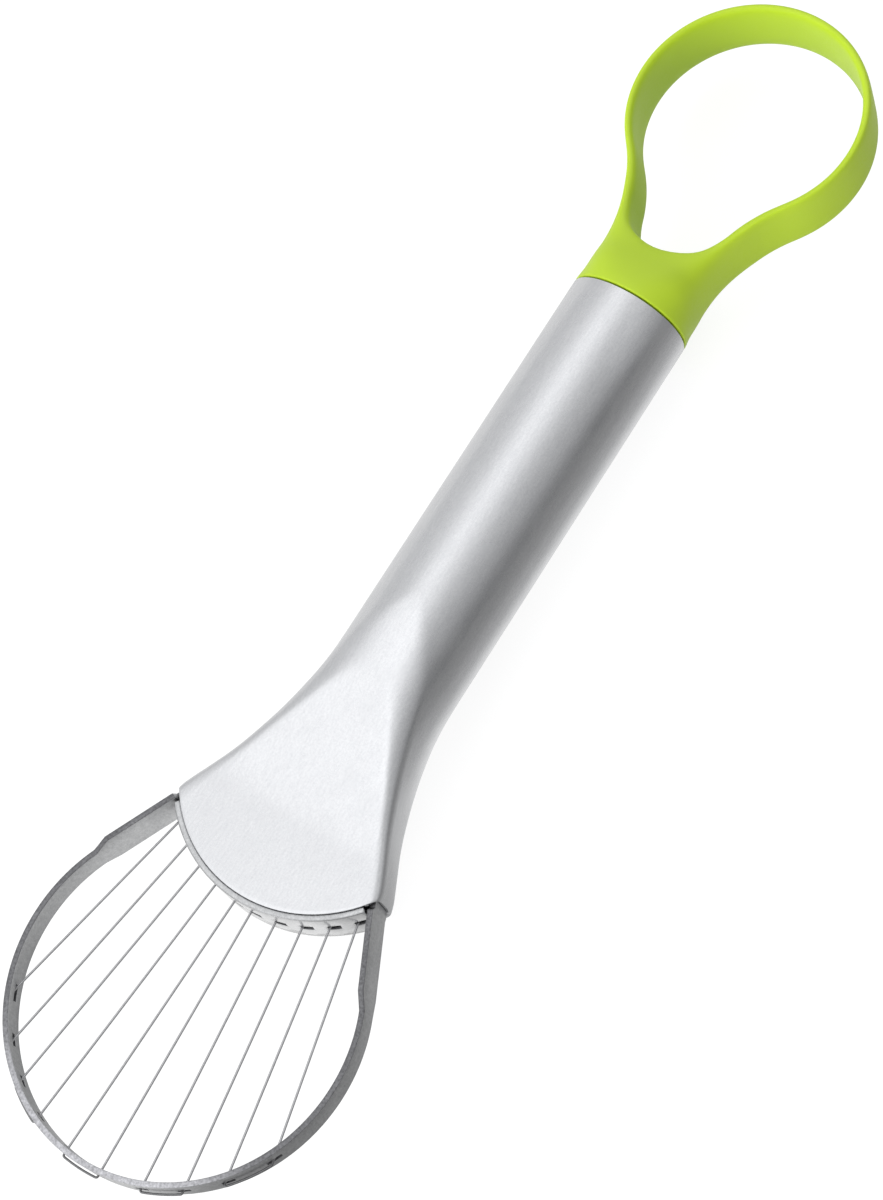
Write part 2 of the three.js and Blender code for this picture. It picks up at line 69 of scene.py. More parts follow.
paper = bpy.data.materials.new("floor_paper")
paper.use_nodes = True
nodes, links = paper.node_tree.nodes, paper.node_tree.links
nodes.clear()
matt = nodes.new("ShaderNodeBsdfDiffuse")
matt.inputs["Color"].default_value = floor_tone
shaded = nodes.new("ShaderNodeBsdfDiffuse")
shaded.inputs["Color"].default_value = shadow_tone
glow = nodes.new("ShaderNodeEmission")
glow.inputs["Strength"].default_value = floor_glow
lit = nodes.new("ShaderNodeAddShader")
links.new(glow.outputs[0], lit.inputs[0])
links.new(shaded.outputs[0], lit.inputs[1])
where = nodes.new("ShaderNodeTexCoord")
split = nodes.new("ShaderNodeSeparateXYZ")
links.new(where.outputs["Object"], split.inputs[0])


def maths(nodes, links, operation, first, second=None):
    """A Math node on one or two values, each a socket or a number."""
    node = nodes.new("ShaderNodeMath")
    node.operation = operation
    for place, value in zip(node.inputs, (first, second)):
        if isinstance(value, bpy.types.NodeSocket):
            links.new(value, place)
        elif value is not None:
            place.default_value = value
    return node.outputs[0]


def mapped(nodes, links, value, start, end, low=0, high=1, soft=False):
    """A value carried from one range over to another and held at its ends."""
    node = nodes.new("ShaderNodeMapRange")
    node.interpolation_type = "SMOOTHSTEP" if soft else "LINEAR"
    ranges = {"From Min": start, "From Max": end, "To Min": low, "To Max": high}
    for name, number in ranges.items():
        node.inputs[name].default_value = number
    links.new(value, node.inputs["Value"])
    return node.outputs[0]


def vector_maths(nodes, links, operation, vector, constant):
    """A Vector Math node between a vector and a constant one."""
    node = nodes.new("ShaderNodeVectorMath")
    node.operation = operation
    node.inputs[1].default_value = constant
    links.new(vector, node.inputs[0])
    return node


def either(nodes, links, when, usual, instead):
    """One shader, or another instead while the factor is on."""
    node = nodes.new("ShaderNodeMixShader")
    for place, socket in zip(node.inputs, (when, usual, instead)):
        links.new(socket, place)
    return node.outputs[0]


def toned(nodes, links, value, levels):
    """A brightness that follows a value through the given levels."""
    ramp = nodes.new("ShaderNodeValToRGB")
    stops = ramp.color_ramp.elements
    while len(stops) < len(levels):
        stops.new(0.5)
    start, end = levels[0][0], levels[-1][0]
    for stop, (place, level) in zip(stops, levels):
        stop.position = (place - start) / (end - start)
        stop.color = (level, level, level, 1)
    links.new(mapped(nodes, links, value, start, end), ramp.inputs[0])
    return ramp.outputs["Color"]


level = maths(
    nodes, links, "MULTIPLY",
    toned(nodes, links, split.outputs["Y"], card_across),
    toned(nodes, links, split.outputs["X"], card_along),
)
level = maths(nodes, links, "MULTIPLY", level, card_peak)
for centre, levels in card_shades:
    away = vector_maths(nodes, links, "DISTANCE", where.outputs["Object"], centre).outputs["Value"]
    level = maths(nodes, links, "MULTIPLY", level, toned(nodes, links, away, levels))
card = nodes.new("ShaderNodeEmission")
links.new(level, card.inputs["Strength"])
path = nodes.new("ShaderNodeLightPath")
mirrored = either(nodes, links, path.outputs["Is Glossy Ray"], matt.outputs[0], card.outputs[0])
viewed = either(nodes, links, path.outputs["Is Camera Ray"], mirrored, lit.outputs[0])
out = nodes.new("ShaderNodeOutputMaterial")
links.new(viewed, out.inputs["Surface"])
floor_mesh.materials.append(paper)

# The room's brightness by the angle over the handle, from the left floor line (-90) to the right.
room_levels = (
    (-90, 0.50), (-64, 0.525), (-48, 0.575), (-34, 0.70), (-16, 0.875), (-4, 0.80), (8, 0.66),
    (20, 0.525), (32, 0.425), (44, 0.345), (56, 0.275), (68, 0.205), (82, 0.165), (90, 0.17),
)
room_peak = 1.6
room_tint, white_tint = (0.985, 0.99, 1, 1), (1, 1, 1, 1)
# Two soft glows in the room: the way to each, the cosines it spans, and how bright it is.
lobes = (((0.30, -0.35, 0.89), 0.86, 0.99, 0.25), ((-0.65, 0.63, 0.42), 0.86, 0.97, 0.2))
world = bpy.data.worlds.new("studio")
bpy.context.scene.world = world
world.use_nodes = True
nodes, links = world.node_tree.nodes, world.node_tree.links
nodes.clear()
way = nodes.new("ShaderNodeTexCoord")
split = nodes.new("ShaderNodeSeparateXYZ")
links.new(way.outputs["Generated"], split.inputs[0])
over = maths(nodes, links, "ARCTAN2", split.outputs["Y"], split.outputs["Z"])
over = maths(nodes, links, "DEGREES", over)
total = maths(nodes, links, "MULTIPLY", toned(nodes, links, over, room_levels), room_peak)
for toward, start, end, amount in lobes:
    middle = Vector(toward).normalized()
    facing = vector_maths(nodes, links, "DOT_PRODUCT", way.outputs["Generated"], middle)
    extra = mapped(nodes, links, facing.outputs["Value"], start, end, 0, amount, soft=True)
    total = maths(nodes, links, "ADD", total, extra)
room = nodes.new("ShaderNodeBackground")
room.inputs["Color"].default_value = room_tint
links.new(total, room.inputs["Strength"])
white = nodes.new("ShaderNodeBackground")
white.inputs["Color"].default_value = white_tint
path = nodes.new("ShaderNodeLightPath")
choose = either(nodes, links, path.outputs["Is Camera Ray"], room.outputs[0], white.outputs[0])
out = nodes.new("ShaderNodeOutputWorld")
links.new(choose, out.inputs["Surface"])

lamps = (("softbox", (0.62, -0.34, 0.48), 2.6), ("low_fill", (0.80, 0.18, 0.20), 4.2))
lamp_width, lamp_depth = 0.5, 0.35
for name, place, energy in lamps:
    light = bpy.data.lights.new(name, "AREA")
    light.shape = "RECTANGLE"
    light.size = lamp_width
    light.size_y = lamp_depth
    light.energy = energy
    aim = Vector(place).to_track_quat("Z", "Y").to_matrix().to_4x4()
    lamp = bpy.data.objects.new(name, light)
    lamp.matrix_world = Matrix.Translation(place) @ aim
    lamp.visible_glossy = False
    bpy.context.scene.collection.objects.link(lamp)

lens = bpy.data.cameras.new("camera")
lens.sensor_fit = "VERTICAL"
lens.sensor_height = 24
lens.lens = 60
lens.clip_start = 0.01
camera = bpy.data.objects.new("camera", lens)
camera.matrix_world = Matrix((
    (-0.5309, -0.8223, 0.2049, 0.10814),
    (0.8115, -0.4236, 0.4024, 0.20002),
    (-0.2441, 0.3800, 0.8922, 0.45584),
    (0, 0, 0, 1),
))
bpy.context.scene.collection.objects.link(camera)
bpy.context.scene.camera = camera
bpy.context.scene.view_settings.view_transform = "Standard"


# Handle. One length of thin stainless tube with a satin finish. The last third is pressed between
# flat dies into a wide flat mouth with rolled edges, and its end is trimmed to an arc.
mm = 0.001
joint_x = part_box("handle_tube")[0][0]
axis_z = 11 * mm
tube_radius = 11
tube_wall = 0.8
handle_length = 118.5
press_start, press_end = 62, 104
mouth_half, mouth_bulge, mouth_thick = 20.8, 0.3, 8.8
mouth_arc = 25.2
flare = math.radians(27)
flare_bend = 57
lip_round = 0.2
press_ease, press_fall = 1.6, 1.8
flat_full_at = 0.8
crease_roll, roll_full_at = 2.6, 0.4
roll_loss, loss_from = 1.0, 0.55
side_share, flat_share = 0.4, 0.7
side_reach, side_limit = 0.6, math.radians(56)
flat_reach, flat_margin, flat_limit = 1.2, math.radians(4), math.radians(82)
search_steps, lip_passes = 34, 12

mouth_centre = handle_length - mouth_arc
corner_x = mouth_centre + math.sqrt(mouth_arc**2 - mouth_half**2)
mouth_crown = mouth_thick / 2 / math.sqrt(1 - (1 - mouth_bulge / mouth_half) ** 2)
flare_tangent = flare_bend * math.tan(flare / 2)
flare_meet = corner_x - (mouth_half - tube_radius) / math.tan(flare)
flare_start = flare_meet - flare_tangent
flare_line = flare_meet + flare_tangent * math.cos(flare)


def placed(x, y, z):
    """A point given in millimetres from the tube's joint and axis, in the frame's metres."""
    return Vector((joint_x + x * mm, y * mm, axis_z + z * mm))


def smooth(value, start, end):
    t = min(max((value - start) / (end - start), 0), 1)
    return t * t * (3 - 2 * t)


def handle_half(x):
    if x <= flare_start:
        return tube_radius
    if x < flare_line:
        return tube_radius + flare_bend - math.sqrt(flare_bend**2 - (x - flare_start) ** 2)
    return mouth_half + (x - corner_x) * math.tan(flare)


def handle_point(x, share):
    """The outline at x, a quarter turn from the side (share 0) to the top (share 1)."""
    press = min(max((x - press_start) / (press_end - press_start), 0), 1)
    wide = handle_half(x)
    flat = mouth_thick / 2 + (tube_radius - mouth_thick / 2) * (1 - press**press_ease) ** press_fall
    flat_part = 1 - mouth_bulge / mouth_half
    flat_part *= math.sin(math.pi / 2 * min(press / flat_full_at, 1))
    crown = max(tube_radius, flat / math.sqrt(1 - flat_part**2))
    roll = crease_roll * smooth(press, 0, roll_full_at) - roll_loss * smooth(press, loss_from, 1)
    crease = math.atan2(flat, wide * math.sqrt(max(1 - (flat / crown) ** 2, 0)))
    low = min(crease * side_reach, side_limit)
    high = min(crease * flat_reach + flat_margin, flat_limit)
    if share < side_share:
        angle = low * share / side_share
    elif share < flat_share:
        angle = low + (high - low) * (share - side_share) / (flat_share - side_share)
    else:
        left = (1 - share) / (1 - flat_share)
        angle = math.atan2(flat, flat / math.tan(high) * left)
    along, up = math.cos(angle), math.sin(angle)
    near, far = 0.2 * flat, 2 * wide
    for _ in range(search_steps):
        r = (near + far) / 2
        reach = math.hypot(r * along / wide, r * up / crown)
        past_side = (reach - 1) * r / max(reach, 0.01)
        past_flat = r * up - flat
        edge = math.hypot(max(past_side + roll, 0), max(past_flat + roll, 0))
        if min(max(past_side, past_flat), -roll) + edge > 0:
            far = r
        else:
            near = r
    return r * along, r * up


def extruded_ring(bm, ring, places, closed=True):
    """Extrudes a row of vertices and moves the copies to new places, in the same order."""
    pairs = list(zip(ring, ring[1:] + ring[:1] if closed else ring[1:]))
    fresh = bmesh.ops.extrude_edge_only(bm, edges=[bm.edges.get(pair) for pair in pairs])["geom"]
    copies = {tuple(v.co): v for v in fresh if isinstance(v, bmesh.types.BMVert)}
    moved = [copies[tuple(v.co)] for v in ring]
    for v, place in zip(moved, places):
        v.co = place
    return moved


def finished(name, bm, material, slot, *replaced):
    """Makes the piece from its bmesh, shades it smooth and puts it in the frame."""
    mesh = bpy.data.meshes.new(name)
    bm.to_mesh(mesh)
    bm.free()
    for face in mesh.polygons:
        face.use_smooth = True
    mesh.materials.append(material)
    obj = bpy.data.objects.new(name, mesh)
    bpy.context.scene.collection.objects.link(obj)
    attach(obj, "root")
    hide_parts(*replaced)
    return obj


def round_off(bm, offset, least_angle=50):
    """Rounds every sharp edge of a sheet-metal piece."""
    sharp = [
        e for e in bm.edges
        if len(e.link_faces) == 2 and e.calc_face_angle() > math.radians(least_angle)
    ]
    bmesh.ops.bevel(
        bm, geom=sharp, offset=offset, offset_type="OFFSET", affect="EDGES",
        segments=2, profile=0.5, clamp_overlap=True, material=-1,
    )


quarter = 36
shares = [i / quarter for i in range(quarter)]
turns = [(s, 1, 1) for s in shares] + [(1 - s, -1, 1) for s in shares]
turns += [(s, -1, -1) for s in shares] + [(1 - s, 1, -1) for s in shares]
form_start = min(press_start, flare_start)
form_steps = 72


def handle_ring(step):
    """The ring of points at a step along the forming, from the round tube (0) to the lip (1)."""
    known = {}
    for share in {round(t[0], 6) for t in turns}:
        x = form_start + step * (handle_length - form_start)
        for _ in range(lip_passes):
            y, z = handle_point(x, share)
            lip = mouth_centre + math.sqrt(max(mouth_arc**2 - y**2, 0))
            x = form_start + step * (lip - form_start)
        known[share] = x, y, z
    places = []
    for share, side, level in turns:
        x, y, z = known[round(share, 6)]
        places.append(placed(x, y * side, z * level))
    return places


bm = bmesh.new()
ring = bmesh.ops.create_circle(bm, segments=len(turns), radius=mm)["verts"]
round_section = [(p.y, p.z) for p in handle_ring(0)]
for v, (y, z) in zip(ring, round_section):
    v.co = (joint_x, y, z)
for part in (0.25, 0.5, 0.75):
    x = joint_x + form_start * part * mm
    ring = extruded_ring(bm, ring, [Vector((x, y, z)) for y, z in round_section])
for i in range(form_steps + 1):
    ring = extruded_ring(bm, ring, handle_ring(i / form_steps))
bmesh.ops.recalc_face_normals(bm, faces=bm.faces[:])
bmesh.ops.solidify(bm, geom=bm.faces[:], thickness=tube_wall * mm)
round_off(bm, lip_round * mm)
# Faces that look in towards the tube's axis take the second material, steel painted near black as
# painted shade.
inward = -0.001
for face in bm.faces:
    from_axis = face.calc_center_median() - Vector((0, 0, axis_z))
    from_axis.x = 0
    face.material_index = int(face.normal.dot(from_axis) < inward)

# The satin grain is shared by all the steel: fine speckle, and strokes along one direction.
grain = bpy.data.node_groups.new("satin_grain", "ShaderNodeTree")
grain.interface.new_socket("Vector", in_out="INPUT", socket_type="NodeSocketVector")
grain.interface.new_socket("Speckle Scale", in_out="INPUT", socket_type="NodeSocketFloat")
grain.interface.new_socket("Stroke Stretch", in_out="INPUT", socket_type="NodeSocketVector")
for name in ("Speckle", "Strokes", "Clouds"):
    grain.interface.new_socket(name, in_out="OUTPUT", socket_type="NodeSocketFloat")
cloud_scale, grain_detail, stroke_detail = 160, 3, 4
nodes, links = grain.nodes, grain.links
given = nodes.new("NodeGroupInput")
result = nodes.new("NodeGroupOutput")
speck = nodes.new("ShaderNodeTexNoise")
speck.inputs["Detail"].default_value = grain_detail
links.new(given.outputs["Vector"], speck.inputs["Vector"])
links.new(given.outputs["Speckle Scale"], speck.inputs["Scale"])
stretch = nodes.new("ShaderNodeVectorMath")
stretch.operation = "MULTIPLY"
links.new(given.outputs["Vector"], stretch.inputs[0])
links.new(given.outputs["Stroke Stretch"], stretch.inputs[1])
strokes = nodes.new("ShaderNodeTexNoise")
strokes.inputs["Scale"].default_value = 1
strokes.inputs["Detail"].default_value = stroke_detail
links.new(stretch.outputs[0], strokes.inputs["Vector"])
clouds = nodes.new("ShaderNodeTexNoise")
clouds.inputs["Scale"].default_value = cloud_scale
clouds.inputs["Detail"].default_value = grain_detail
links.new(given.outputs["Vector"], clouds.inputs["Vector"])
for node, name in ((speck, "Speckle"), (strokes, "Strokes"), (clouds, "Clouds")):
    links.new(node.outputs[0], result.inputs[name])


speckle_part, stroke_part = 0.55, 0.45
tone_from, tone_to = 0.32, 0.68
gloss_from, gloss_to = 0.3, 0.7
grain_depth = 0.00005


def satin_steel(name, dark, light, rough, speckle_scale, stretch, bump):
    """Stainless steel whose tone, gloss and relief follow the satin grain."""
    material = bpy.data.materials.new(name)
    material.use_nodes = True
    nodes, links = material.node_tree.nodes, material.node_tree.links
    metal = nodes["Principled BSDF"]
    metal.inputs["Metallic"].default_value = 1
    where = nodes.new("ShaderNodeTexCoord")
    satin = nodes.new("ShaderNodeGroup")
    satin.node_tree = grain
    satin.inputs["Speckle Scale"].default_value = speckle_scale
    satin.inputs["Stroke Stretch"].default_value = stretch
    links.new(where.outputs["Object"], satin.inputs["Vector"])
    speckle = maths(nodes, links, "MULTIPLY", satin.outputs["Speckle"], speckle_part)
    strokes = maths(nodes, links, "MULTIPLY", satin.outputs["Strokes"], stroke_part)
    blend = maths(nodes, links, "ADD", speckle, strokes)
    colour = nodes.new("ShaderNodeMix")
    colour.data_type = "RGBA"
    colour.inputs["A"].default_value = dark
    colour.inputs["B"].default_value = light
    links.new(mapped(nodes, links, blend, tone_from, tone_to), colour.inputs["Factor"])
    links.new(colour.outputs["Result"], metal.inputs["Base Color"])
    gloss = mapped(nodes, links, satin.outputs["Clouds"], gloss_from, gloss_to, rough[0], rough[1])
    links.new(gloss, metal.inputs["Roughness"])
    relief = nodes.new("ShaderNodeBump")
    relief.inputs["Strength"].default_value = bump
    relief.inputs["Distance"].default_value = grain_depth
    links.new(blend, relief.inputs["Height"])
    links.new(relief.outputs["Normal"], metal.inputs["Normal"])
    return material


tube_steel = satin_steel(
    "tube_steel", (0.585, 0.59, 0.605, 1), (0.665, 0.67, 0.68, 1), (0.22, 0.30),
    2600, (500, 2200, 2200), 0.08,
)
# Steel painted near black: painted shade for the tube's inside and the slot walls, which are the
# same steel as the rest.
painted_shade_steel = satin_steel(
    "painted_shade_steel", (0.06, 0.06, 0.065, 1), (0.16, 0.16, 0.165, 1), (0.45, 0.6),
    1800, (500, 1500, 1500), 0.3,
)
handle = finished("handle_tube_visual", bm, tube_steel, "steel", "handle_tube")
# The tube's inside takes the steel painted near black as painted shade.
handle.data.materials.append(painted_shade_steel)


# Cutting wires. Ten taut spans of fine drawn steel wire, made as five hairpins. Each runs out of a
# slot in the bridge, through the ring, along its outside, and back through the next slot.
ring_radius, band_thick = 30.7, 1
bridge_thick, bridge_gap = 0.8, 0.3
ring_slot_angles = [math.radians(a) for a in (6.65, 21.1, 34.5, 47.6, 63.8)]
slot_length, slot_height = 2.2, 1
wire_bend, wire_radius, slot_clearance = 0.6, 0.2, 0.15
middle_pitch, end_land = 3.5, 2.2

side_normal = Vector((-math.sin(flare), math.cos(flare)))
tongue_height = mouth_thick - 2 * (tube_wall + bridge_gap)
wall_bulge = mouth_half * (1 - math.sqrt(1 - (tongue_height / 2 / mouth_crown) ** 2))
tang_outer = Vector((corner_x, mouth_half)).dot(side_normal)
tang_outer -= tube_wall + bridge_gap + wall_bulge * math.cos(flare)
tang_inner = tang_outer - band_thick
ring_x = (ring_radius - tang_outer) / math.sin(flare)
ring_middle = ring_radius - band_thick / 2
bridge_back = mouth_arc + bridge_gap
bridge_middle = bridge_back + bridge_thick / 2
bridge_front = bridge_back + bridge_thick


def angle_on_side(distance, radius):
    """Where a circle about the mouth's centre meets a line along the mouth's side."""
    return flare + math.asin((distance - mouth_centre * side_normal.x) / radius)


def slot_room(thickness, slant):
    return wire_radius / math.cos(slant) + thickness / 2 * math.tan(abs(slant)) + slot_clearance


def polar(centre_x, radius, angle):
    return Vector((centre_x + radius * math.cos(angle), radius * math.sin(angle)))


first_slot = middle_pitch / 2 / bridge_middle
last_slot = angle_on_side(tang_inner, bridge_middle) - end_land / bridge_middle
bridge_slots, ring_slots = [], []
for side in (1, -1):
    for i, ring_angle in enumerate(ring_slot_angles):
        step = i / (len(ring_slot_angles) - 1)
        slot_angle = first_slot + (last_slot - first_slot) * step
        bridge_slots.append((side * ring_angle, side * slot_angle))
bridge_slots.sort(reverse=True)
for i, (ring_angle, slot_angle) in enumerate(bridge_slots):
    at_ring = polar(ring_x, ring_middle, ring_angle)
    toward = at_ring - polar(mouth_centre, bridge_middle, slot_angle)
    slant = math.atan2(toward.y, toward.x) - slot_angle
    off_centre = max(0, slot_length / 2 - slot_room(bridge_thick, slant))
    leaving = at_ring - polar(mouth_centre, bridge_middle, slot_angle - off_centre / bridge_middle)
    ring_slant = math.atan2(leaving.y, leaving.x) - ring_angle
    partner = -1 if i % 2 == 0 else 1
    near = slot_room(band_thick, ring_slant) + wire_bend
    far = max(slot_room(band_thick, ring_slant), slot_length - near)
    ring_slots.append((ring_angle - partner * (far - near) / 2 / ring_middle, near + far))

wire_steel = satin_steel(
    "wire_steel", (0.40, 0.40, 0.41, 1), (0.56, 0.56, 0.57, 1), (0.28, 0.4),
    9000, (3000, 3000, 3000), 0.1,
)


def scaled_tone(material, value, start, end, before, after):
    """Scales a steel's tone by a factor that changes as a value passes a range."""
    nodes, links = material.node_tree.nodes, material.node_tree.links
    metal = nodes["Principled BSDF"]
    factor = mapped(nodes, links, value, start, end, before, after, soft=True)
    scaled = nodes.new("ShaderNodeVectorMath")
    scaled.operation = "SCALE"
    links.new(metal.inputs["Base Color"].links[0].from_socket, scaled.inputs[0])
    links.new(factor, scaled.inputs["Scale"])
    links.new(scaled.outputs[0], metal.inputs["Base Color"])


# The runs outside the ring are painted darker: a painted shadow of the ring.
run_from, run_full, run_shadow_tone = 0.0303, 0.0308, 0.45
nodes, links = wire_steel.node_tree.nodes, wire_steel.node_tree.links
where = nodes.new("ShaderNodeTexCoord")
from_ring = vector_maths(nodes, links, "DISTANCE", where.outputs["Object"], placed(ring_x, 0, 0))
scaled_tone(wire_steel, from_ring.outputs["Value"], run_from, run_full, 1, run_shadow_tone)
wires = 5
for i in range(1, wires + 1):
    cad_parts[f"cutting_wire_{i}"].material_slots[0].material = wire_steel


# Wire stops. A small steel sleeve crimped on each wire's end behind the bridge, inside the mouth,
# which takes the wire's pull.
# The stops' steel is painted near black: painted shade for the inside of the mouth seen through the
# slots.
painted_shade_stop_steel = satin_steel(
    "painted_shade_stop_steel", (0.05, 0.05, 0.055, 1), (0.11, 0.11, 0.115, 1), (0.5, 0.65),
    5000, (2500, 2500, 2500), 0.2,
)
for i in range(1, 2 * wires + 1):
    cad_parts[f"wire_stop_{i}"].material_slots[0].material = painted_shade_stop_steel


# Cutter band. One steel strip bent into a ring with ten punched slots. Each end is left taller as a
# tang along the mouth's side, with a narrower tongue that is welded inside the mouth.
ring_height = 4.8
tang_depth = 12
shoulder_reach, shoulder_length = 14, 2.6
step_length = 0.5
tang_foot = 3.0
band_round = 0.13

step_x = mouth_centre + bridge_back * math.cos(angle_on_side(tang_inner, bridge_back))
shoulder_x = corner_x + shoulder_reach
tang_end = corner_x - tang_depth


def band_edges(x):
    """The heights of the band's lower and upper edges at x."""
    if x < step_x:
        rise = smooth(x, step_x - step_length, step_x)
        low = tongue_height / 2 + (tang_foot - tongue_height / 2) * rise
        return -low, tongue_height / 2 + (mouth_thick - tongue_height) / 2 * rise
    drop = min(max((x - shoulder_x) / shoulder_length, 0), 1)
    low = tang_foot + (ring_height / 2 - tang_foot) * drop
    return -low, mouth_thick / 2 + (ring_height - mouth_thick) / 2 * drop


turn_start = math.pi / 2 + flare
straight = [tang_end + tang_depth * part for part in (0, 1 / 3, 2 / 3)]
straight += [step_x - step_length, step_x, shoulder_x, shoulder_x + shoulder_length]
stations = []
for x in straight:
    y = (tang_outer - x * side_normal.x) / side_normal.y
    stations.append((x, y, None))
turn_steps = 120
angles = [turn_start * (1 - 2 * i / turn_steps) for i in range(turn_steps + 1)]
edges_of_slots = []
for angle, length in ring_slots:
    edges_of_slots += [angle + length / 2 / ring_middle, angle - length / 2 / ring_middle]
keep_off, touch = 0.012, 0.001
angles = [a for a in angles if all(abs(a - e) > keep_off for e in edges_of_slots)]
angles = sorted(angles + edges_of_slots, reverse=True)
for angle in angles:
    point = polar(ring_x, ring_radius, angle)
    if abs(angle) < turn_start - touch or point.x > shoulder_x + shoulder_length:
        stations.append((point.x, point.y, angle))
first_arc = polar(ring_x, ring_radius, turn_start).x
stations = [s for s in stations if s[2] is not None or s[0] < first_arc + touch]
stations += [(x, -y, None) for x, y, a in reversed(stations) if a is None]


def column(x, y, edges, slot):
    return [placed(x, y, z) for z in (edges[0], -slot / 2, slot / 2, edges[1])]


def slotted_strip(stations, edges, slots, slot_height):
    """A strip through the stations, one face thick, with a window at each slot."""
    bm = bmesh.new()
    row = [bm.verts.new(p) for p in column(stations[0][0], stations[0][1], edges[0], slot_height)]
    for a, b in zip(row, row[1:]):
        bm.edges.new((a, b))
    windows = []
    for before, here, edge in zip(stations, stations[1:], edges[1:]):
        fresh = extruded_ring(bm, row, column(here[0], here[1], edge, slot_height), closed=False)
        if before[2] is not None and here[2] is not None:
            middle = (before[2] + here[2]) / 2
            if any(abs(middle - angle) < half for angle, half in slots):
                windows.append(bm.edges.get((fresh[1], fresh[2])).link_faces[0])
        row = fresh
    bmesh.ops.delete(bm, geom=windows, context="FACES")
    return bm


bm = slotted_strip(
    stations, [band_edges(s[0]) for s in stations],
    [(a, length / 2 / ring_middle) for a, length in ring_slots], slot_height,
)
bmesh.ops.recalc_face_normals(bm, faces=bm.faces[:])
outward = sum(
    (f.normal.dot(f.calc_center_median() - placed(ring_x, 0, 0)) for f in bm.faces), 0.0
)
if outward < 0:
    bmesh.ops.reverse_faces(bm, faces=bm.faces[:])
bmesh.ops.solidify(bm, geom=bm.faces[:], thickness=band_thick * mm)
round_off(bm, band_round * mm)
strip_steel = satin_steel(
    "strip_steel", (0.42, 0.425, 0.43, 1), (0.62, 0.625, 0.63, 1), (0.34, 0.5),
    3400, (1800, 1800, 900), 0.4,
)
sheared_steel = satin_steel(
    "sheared_steel", (0.12, 0.12, 0.125, 1), (0.25, 0.25, 0.26, 1), (0.4, 0.6),
    2400, (2000, 2000, 2000), 0.7,
)
# The cut edge is painted brighter towards the front of the ring: a painted highlight where the
# light falls on it.
highlight_from, highlight_full, highlight_tone = 0.098, 0.113, 2.8
nodes, links = sheared_steel.node_tree.nodes, sheared_steel.node_tree.links
where = nodes.new("ShaderNodeTexCoord")
split = nodes.new("ShaderNodeSeparateXYZ")
links.new(where.outputs["Object"], split.inputs[0])
scaled_tone(sheared_steel, split.outputs["X"], highlight_from, highlight_full, 1, highlight_tone)
edge_slope = 0.6


def mark_edges(bm, slot_height):
    """Gives a strip's cut edges its second material and the walls of its slots the third, steel
    painted near black as painted shade.
    """
    for face in bm.faces:
        level = abs(face.calc_center_median().z - axis_z)
        on_edge = abs(face.normal.z) > edge_slope
        face.material_index = (2 if level < slot_height * mm else 1) if on_edge else 0


mark_edges(bm, slot_height)
band = finished("cutter_band_visual", bm, strip_steel, "steel", "cutter_band")
band.data.materials.append(sheared_steel)
# The slot walls take the steel painted near black as painted shade.
band.data.materials.append(painted_shade_steel)


# Wire bridge. A curved steel strip in front of the mouth's lip, seated between the tangs. It closes
# the mouth, and the wires run out through its ten slots.
bridge_foot, bridge_top = -4.6, 4.25
bridge_slot_height = 1.5
lip_clearance = 0.03
bridge_round = 0.3

end_clearance = 0.008
end_angle = angle_on_side(tang_inner - bridge_gap, bridge_middle) - end_clearance
bridge_steps = 60
angles = [end_angle * (1 - 2 * i / bridge_steps) for i in range(bridge_steps + 1)]
slot_half = slot_length / 2 / bridge_middle
slot_edges = [angle + d for _, angle in bridge_slots for d in (slot_half, -slot_half)]
angles = [a for a in angles if all(abs(a - e) > keep_off for e in slot_edges)]
angles = sorted(angles + slot_edges, reverse=True)
stations = []
for angle in angles:
    point = polar(mouth_centre, bridge_front, angle)
    stations.append((point.x, point.y, angle))
bm = slotted_strip(
    stations, [(bridge_foot, bridge_top)] * len(stations),
    [(angle, slot_half) for _, angle in bridge_slots], bridge_slot_height,
)
bmesh.ops.recalc_face_normals(bm, faces=bm.faces[:])
if sum(f.normal.x for f in bm.faces) < 0:
    bmesh.ops.reverse_faces(bm, faces=bm.faces[:])
bridge_depth = bridge_front - mouth_arc - lip_clearance
bmesh.ops.solidify(bm, geom=bm.faces[:], thickness=bridge_depth * mm)
round_off(bm, bridge_round * mm)
bridge_steel = satin_steel(
    "bridge_steel", (0.66, 0.665, 0.67, 1), (0.80, 0.80, 0.805, 1), (0.16, 0.26),
    3000, (1400, 1400, 1400), 0.12,
)
mark_edges(bm, bridge_slot_height)
bridge = finished("wire_bridge_visual", bm, bridge_steel, "steel", "wire_bridge")
bridge.data.materials.append(strip_steel)
# The slot walls take the steel painted near black as painted shade.
bridge.data.materials.append(painted_shade_steel)


# Scoop. One moulding in lime green plastic with a soft satin skin: a collar as wide as the tube
# that opens into two arms and a thin loop. A hollow spigot below it is pressed into the tube.
loop_radius, loop_reach, loop_thick, loop_half = 21.5, 40.9, 1.8, 5.8
loop_squareness = 4.5
arm_fillet, hollow_radius = 29, 27.4
saddle_reach, saddle_radius = 10.4, 9.2
collar_length, collar_blend = 0.6, 16
collar_gap = 0.3
collar_rings = ((2.4, 2.6), (4.6, 5.4), (6.6, 7.8), (8.2, 9.5))
collar_fullness, full_at = 3.5, 9
neck_start, neck_past_saddle = 9.6, 2.2
spigot_length, spigot_wall, spigot_edge = 30, 2.5, 0.3
around = 24
to_limit = (2 + math.cos(2 * math.pi / around)) / 3
half_turn = around // 2
inner_levels = (0.93, 0.62, 0, -0.62, -0.93)


def meeting_point(near, near_distance, far, far_distance):
    """The point above the axis that lies at these distances from two points."""
    on = far - near
    apart = on.length
    along = (near_distance**2 - far_distance**2 + apart**2) / (2 * apart)
    up = math.sqrt(near_distance**2 - along**2)
    on.normalize()
    return Vector((near.x + along * on.x - up * on.y, near.y + along * on.y + up * on.x))


